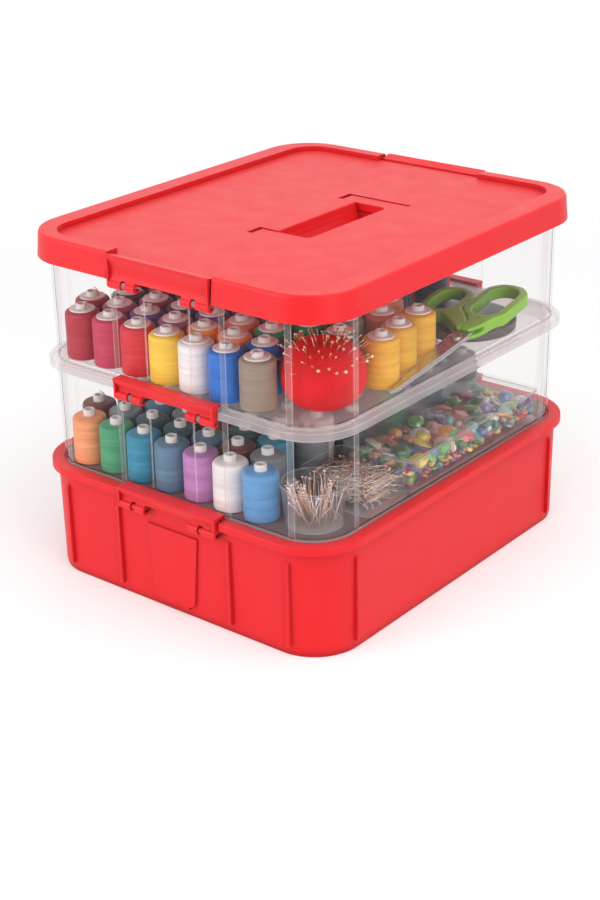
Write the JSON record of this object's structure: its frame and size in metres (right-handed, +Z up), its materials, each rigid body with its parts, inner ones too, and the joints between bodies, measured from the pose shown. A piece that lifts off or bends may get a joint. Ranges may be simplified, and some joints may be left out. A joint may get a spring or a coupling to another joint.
{
  "type": "thread spool storage box",
  "caption": "Stacking sewing box: red base tray, clear trays of thread spools and notions, red lid with fold-down handle, and snap latches at each joint.",
  "frame": {"origin": "centre of the closed box's footprint, at the base tray's bottom", "axes": "+Z up, X across the two latched faces, -Y the latched face in front, +X the side the handle folds towards"},
  "size_m": [0.2738, 0.326, 0.256],
  "materials": {
    "red_plastic": "fine moulded texture, semi-matte",
    "clear_plastic": "clear moulded plastic, glossy",
    "spool_plastic": "satin white plastic",
    "scissor_steel": "brushed",
    "grip_plastic": "soft satin plastic",
    "tin": "satin lacquer",
    "velvet": "velvet",
    "ball_pins": "pearl and gilt heads",
    "cup_pin_metal": "copper-pink, polished",
    "loose_pin_metal": "polished",
    "bead_red": "glossy",
    "bead_green": "glossy",
    "bead_yellow": "glossy",
    "thread_dark_red": "wound thread, soft sheen",
    "thread_crimson": "wound thread, soft sheen",
    "thread_red": "wound thread, soft sheen",
    "thread_yellow": "wound thread, soft sheen",
    "thread_white": "wound thread, soft sheen",
    "thread_blue": "wound thread, soft sheen",
    "thread_taupe": "wound thread, soft sheen",
    "thread_magenta": "wound thread, soft sheen",
    "thread_violet": "wound thread, soft sheen",
    "thread_mauve": "wound thread, soft sheen",
    "thread_orange": "wound thread, soft sheen",
    "thread_peach": "wound thread, soft sheen",
    "thread_plum": "wound thread, soft sheen",
    "thread_green": "wound thread, soft sheen",
    "thread_teal": "wound thread, soft sheen",
    "thread_salmon": "wound thread, soft sheen",
    "thread_navy": "wound thread, soft sheen",
    "thread_amber": "wound thread, soft sheen",
    "thread_teal_blue": "wound thread, soft sheen",
    "thread_slate": "wound thread, soft sheen",
    "thread_lavender": "wound thread, soft sheen",
    "thread_light_blue": "wound thread, soft sheen",
    "thread_brown_red": "wound thread, soft sheen",
    "thread_dark_teal": "wound thread, soft sheen",
    "thread_grey": "wound thread, soft sheen"
  },
  "bodies": {
    "base_tray": {"base_tray": "red_plastic"},
    "lower_tray": {"lower_tray": "clear_plastic", "lower_thread_peach": "thread_peach", "lower_thread_green": "thread_green", "lower_thread_teal_blue": "thread_teal_blue", "lower_thread_slate": "thread_slate", "lower_thread_lavender": "thread_lavender", "lower_thread_white": "thread_white", "lower_thread_light_blue": "thread_light_blue", "lower_thread_brown_red": "thread_brown_red", "lower_thread_dark_teal": "thread_dark_teal", "lower_thread_grey": "thread_grey", "lower_spool_cores": "spool_plastic", "pin_cup": "clear_plastic", "cup_pins": "cup_pin_metal", "pin_box": "clear_plastic", "box_pins": "loose_pin_metal", "bead_box": "clear_plastic", "bead_box_lid": "clear_plastic", "beads_red": "bead_red", "beads_green": "bead_green", "beads_yellow": "bead_yellow"},
    "upper_tray": {"upper_tray": "clear_plastic", "upper_thread_dark_red": "thread_dark_red", "upper_thread_crimson": "thread_crimson", "upper_thread_red": "thread_red", "upper_thread_yellow": "thread_yellow", "upper_thread_white": "thread_white", "upper_thread_blue": "thread_blue", "upper_thread_taupe": "thread_taupe", "upper_thread_magenta": "thread_magenta", "upper_thread_violet": "thread_violet", "upper_thread_mauve": "thread_mauve", "upper_thread_orange": "thread_orange", "upper_thread_peach": "thread_peach", "upper_thread_plum": "thread_plum", "upper_thread_green": "thread_green", "upper_thread_teal": "thread_teal", "upper_thread_salmon": "thread_salmon", "upper_thread_navy": "thread_navy", "upper_thread_amber": "thread_amber", "upper_spool_cores": "spool_plastic", "pincushion": "velvet", "pincushion_pins": "ball_pins", "scissor_blade_under": "scissor_steel", "scissor_blade_over": "scissor_steel", "scissor_grip_right": "grip_plastic", "scissor_grip_left": "grip_plastic", "scissor_screw": "scissor_steel", "button_tin": "tin"},
    "lid": {"lid": "red_plastic"},
    "handle": {"handle": "red_plastic"},
    "base_latch_front": {"base_latch_front": "red_plastic"},
    "base_latch_back": {"base_latch_back": "red_plastic"},
    "lower_latch_front": {"lower_latch_front": "red_plastic"},
    "lower_latch_back": {"lower_latch_back": "red_plastic"},
    "upper_latch_front": {"upper_latch_front": "red_plastic"},
    "upper_latch_back": {"upper_latch_back": "red_plastic"}
  },
  "joints": [
    {"name": "lower_tray_lift", "type": "slide", "parent": "base_tray", "child": "lower_tray", "axis": [0, 0, 1], "range_m": [0, 0.06]},
    {"name": "upper_tray_lift", "type": "slide", "parent": "lower_tray", "child": "upper_tray", "axis": [0, 0, 1], "range_m": [0, 0.06]},
    {"name": "lid_lift", "type": "slide", "parent": "upper_tray", "child": "lid", "axis": [0, 0, 1], "range_m": [0, 0.06]},
    {"name": "handle_hinge", "type": "hinge", "parent": "lid", "child": "handle", "pos_m": [-0.0042, 0, 0.2483], "axis": [0, -1, 0], "range_deg": [0, 98]},
    {"name": "base_latch_front_hinge", "type": "hinge", "parent": "base_tray", "child": "base_latch_front", "pos_m": [0, -0.1596, 0.074], "axis": [1, 0, 0], "range_deg": [0, 115]},
    {"name": "lower_latch_front_hinge", "type": "hinge", "parent": "lower_tray", "child": "lower_latch_front", "pos_m": [0, -0.1569, 0.1547], "axis": [1, 0, 0], "range_deg": [0, 115]},
    {"name": "upper_latch_front_hinge", "type": "hinge", "parent": "upper_tray", "child": "upper_latch_front", "pos_m": [0, -0.1569, 0.2347], "axis": [1, 0, 0], "range_deg": [0, 115]},
    {"name": "base_latch_back_hinge", "type": "hinge", "parent": "base_tray", "child": "base_latch_back", "pos_m": [0, 0.1596, 0.074], "axis": [-1, 0, 0], "range_deg": [0, 115]},
    {"name": "lower_latch_back_hinge", "type": "hinge", "parent": "lower_tray", "child": "lower_latch_back", "pos_m": [0, 0.1569, 0.1547], "axis": [-1, 0, 0], "range_deg": [0, 115]},
    {"name": "upper_latch_back_hinge", "type": "hinge", "parent": "upper_tray", "child": "upper_latch_back", "pos_m": [0, 0.1569, 0.2347], "axis": [-1, 0, 0], "range_deg": [0, 115]}
  ]
}
